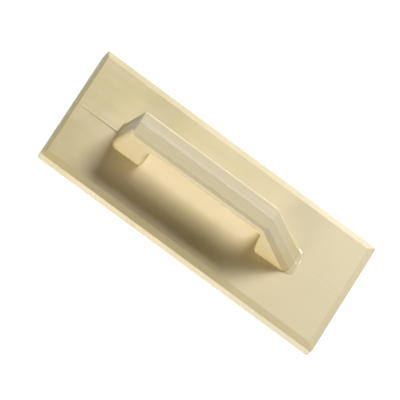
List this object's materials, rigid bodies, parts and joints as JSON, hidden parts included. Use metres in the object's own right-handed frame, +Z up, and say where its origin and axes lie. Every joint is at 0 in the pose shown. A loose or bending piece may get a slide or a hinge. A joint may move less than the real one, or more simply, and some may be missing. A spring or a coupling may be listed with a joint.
{
  "type": "plastering float",
  "caption": "Rectangular rigid-foam hand float with a bevelled flat plate and a moulded bridge handle with a sloping nose, for smoothing plaster, render and mortar.",
  "frame": {"origin": "middle of the sole, on the face that the float works with", "axes": "+X along the plate towards the handle's sloping nose, +Z up out of the top of the plate"},
  "size_m": [0.28, 0.115, 0.0513],
  "materials": {
    "plate_skin": "as-moulded straw-cream polyurethane skin, satin, with fine flow marks and a faint parting line",
    "handle_skin": "as-moulded straw-cream polyurethane skin, satin, with fine lengthwise streaks",
    "hardwood": "sawn beech, unfinished",
    "screw_steel": "zinc-plated steel",
    "plug_skin": "cast polyurethane filler, rubbed flush with the sole"
  },
  "bodies": {
    "root": {"float_plate": "plate_skin", "handle": "handle_skin", "heel_block": "hardwood", "nose_block": "hardwood", "screws": "screw_steel", "washers": "screw_steel", "sole_plugs": "plug_skin"}
  },
  "joints": []
}
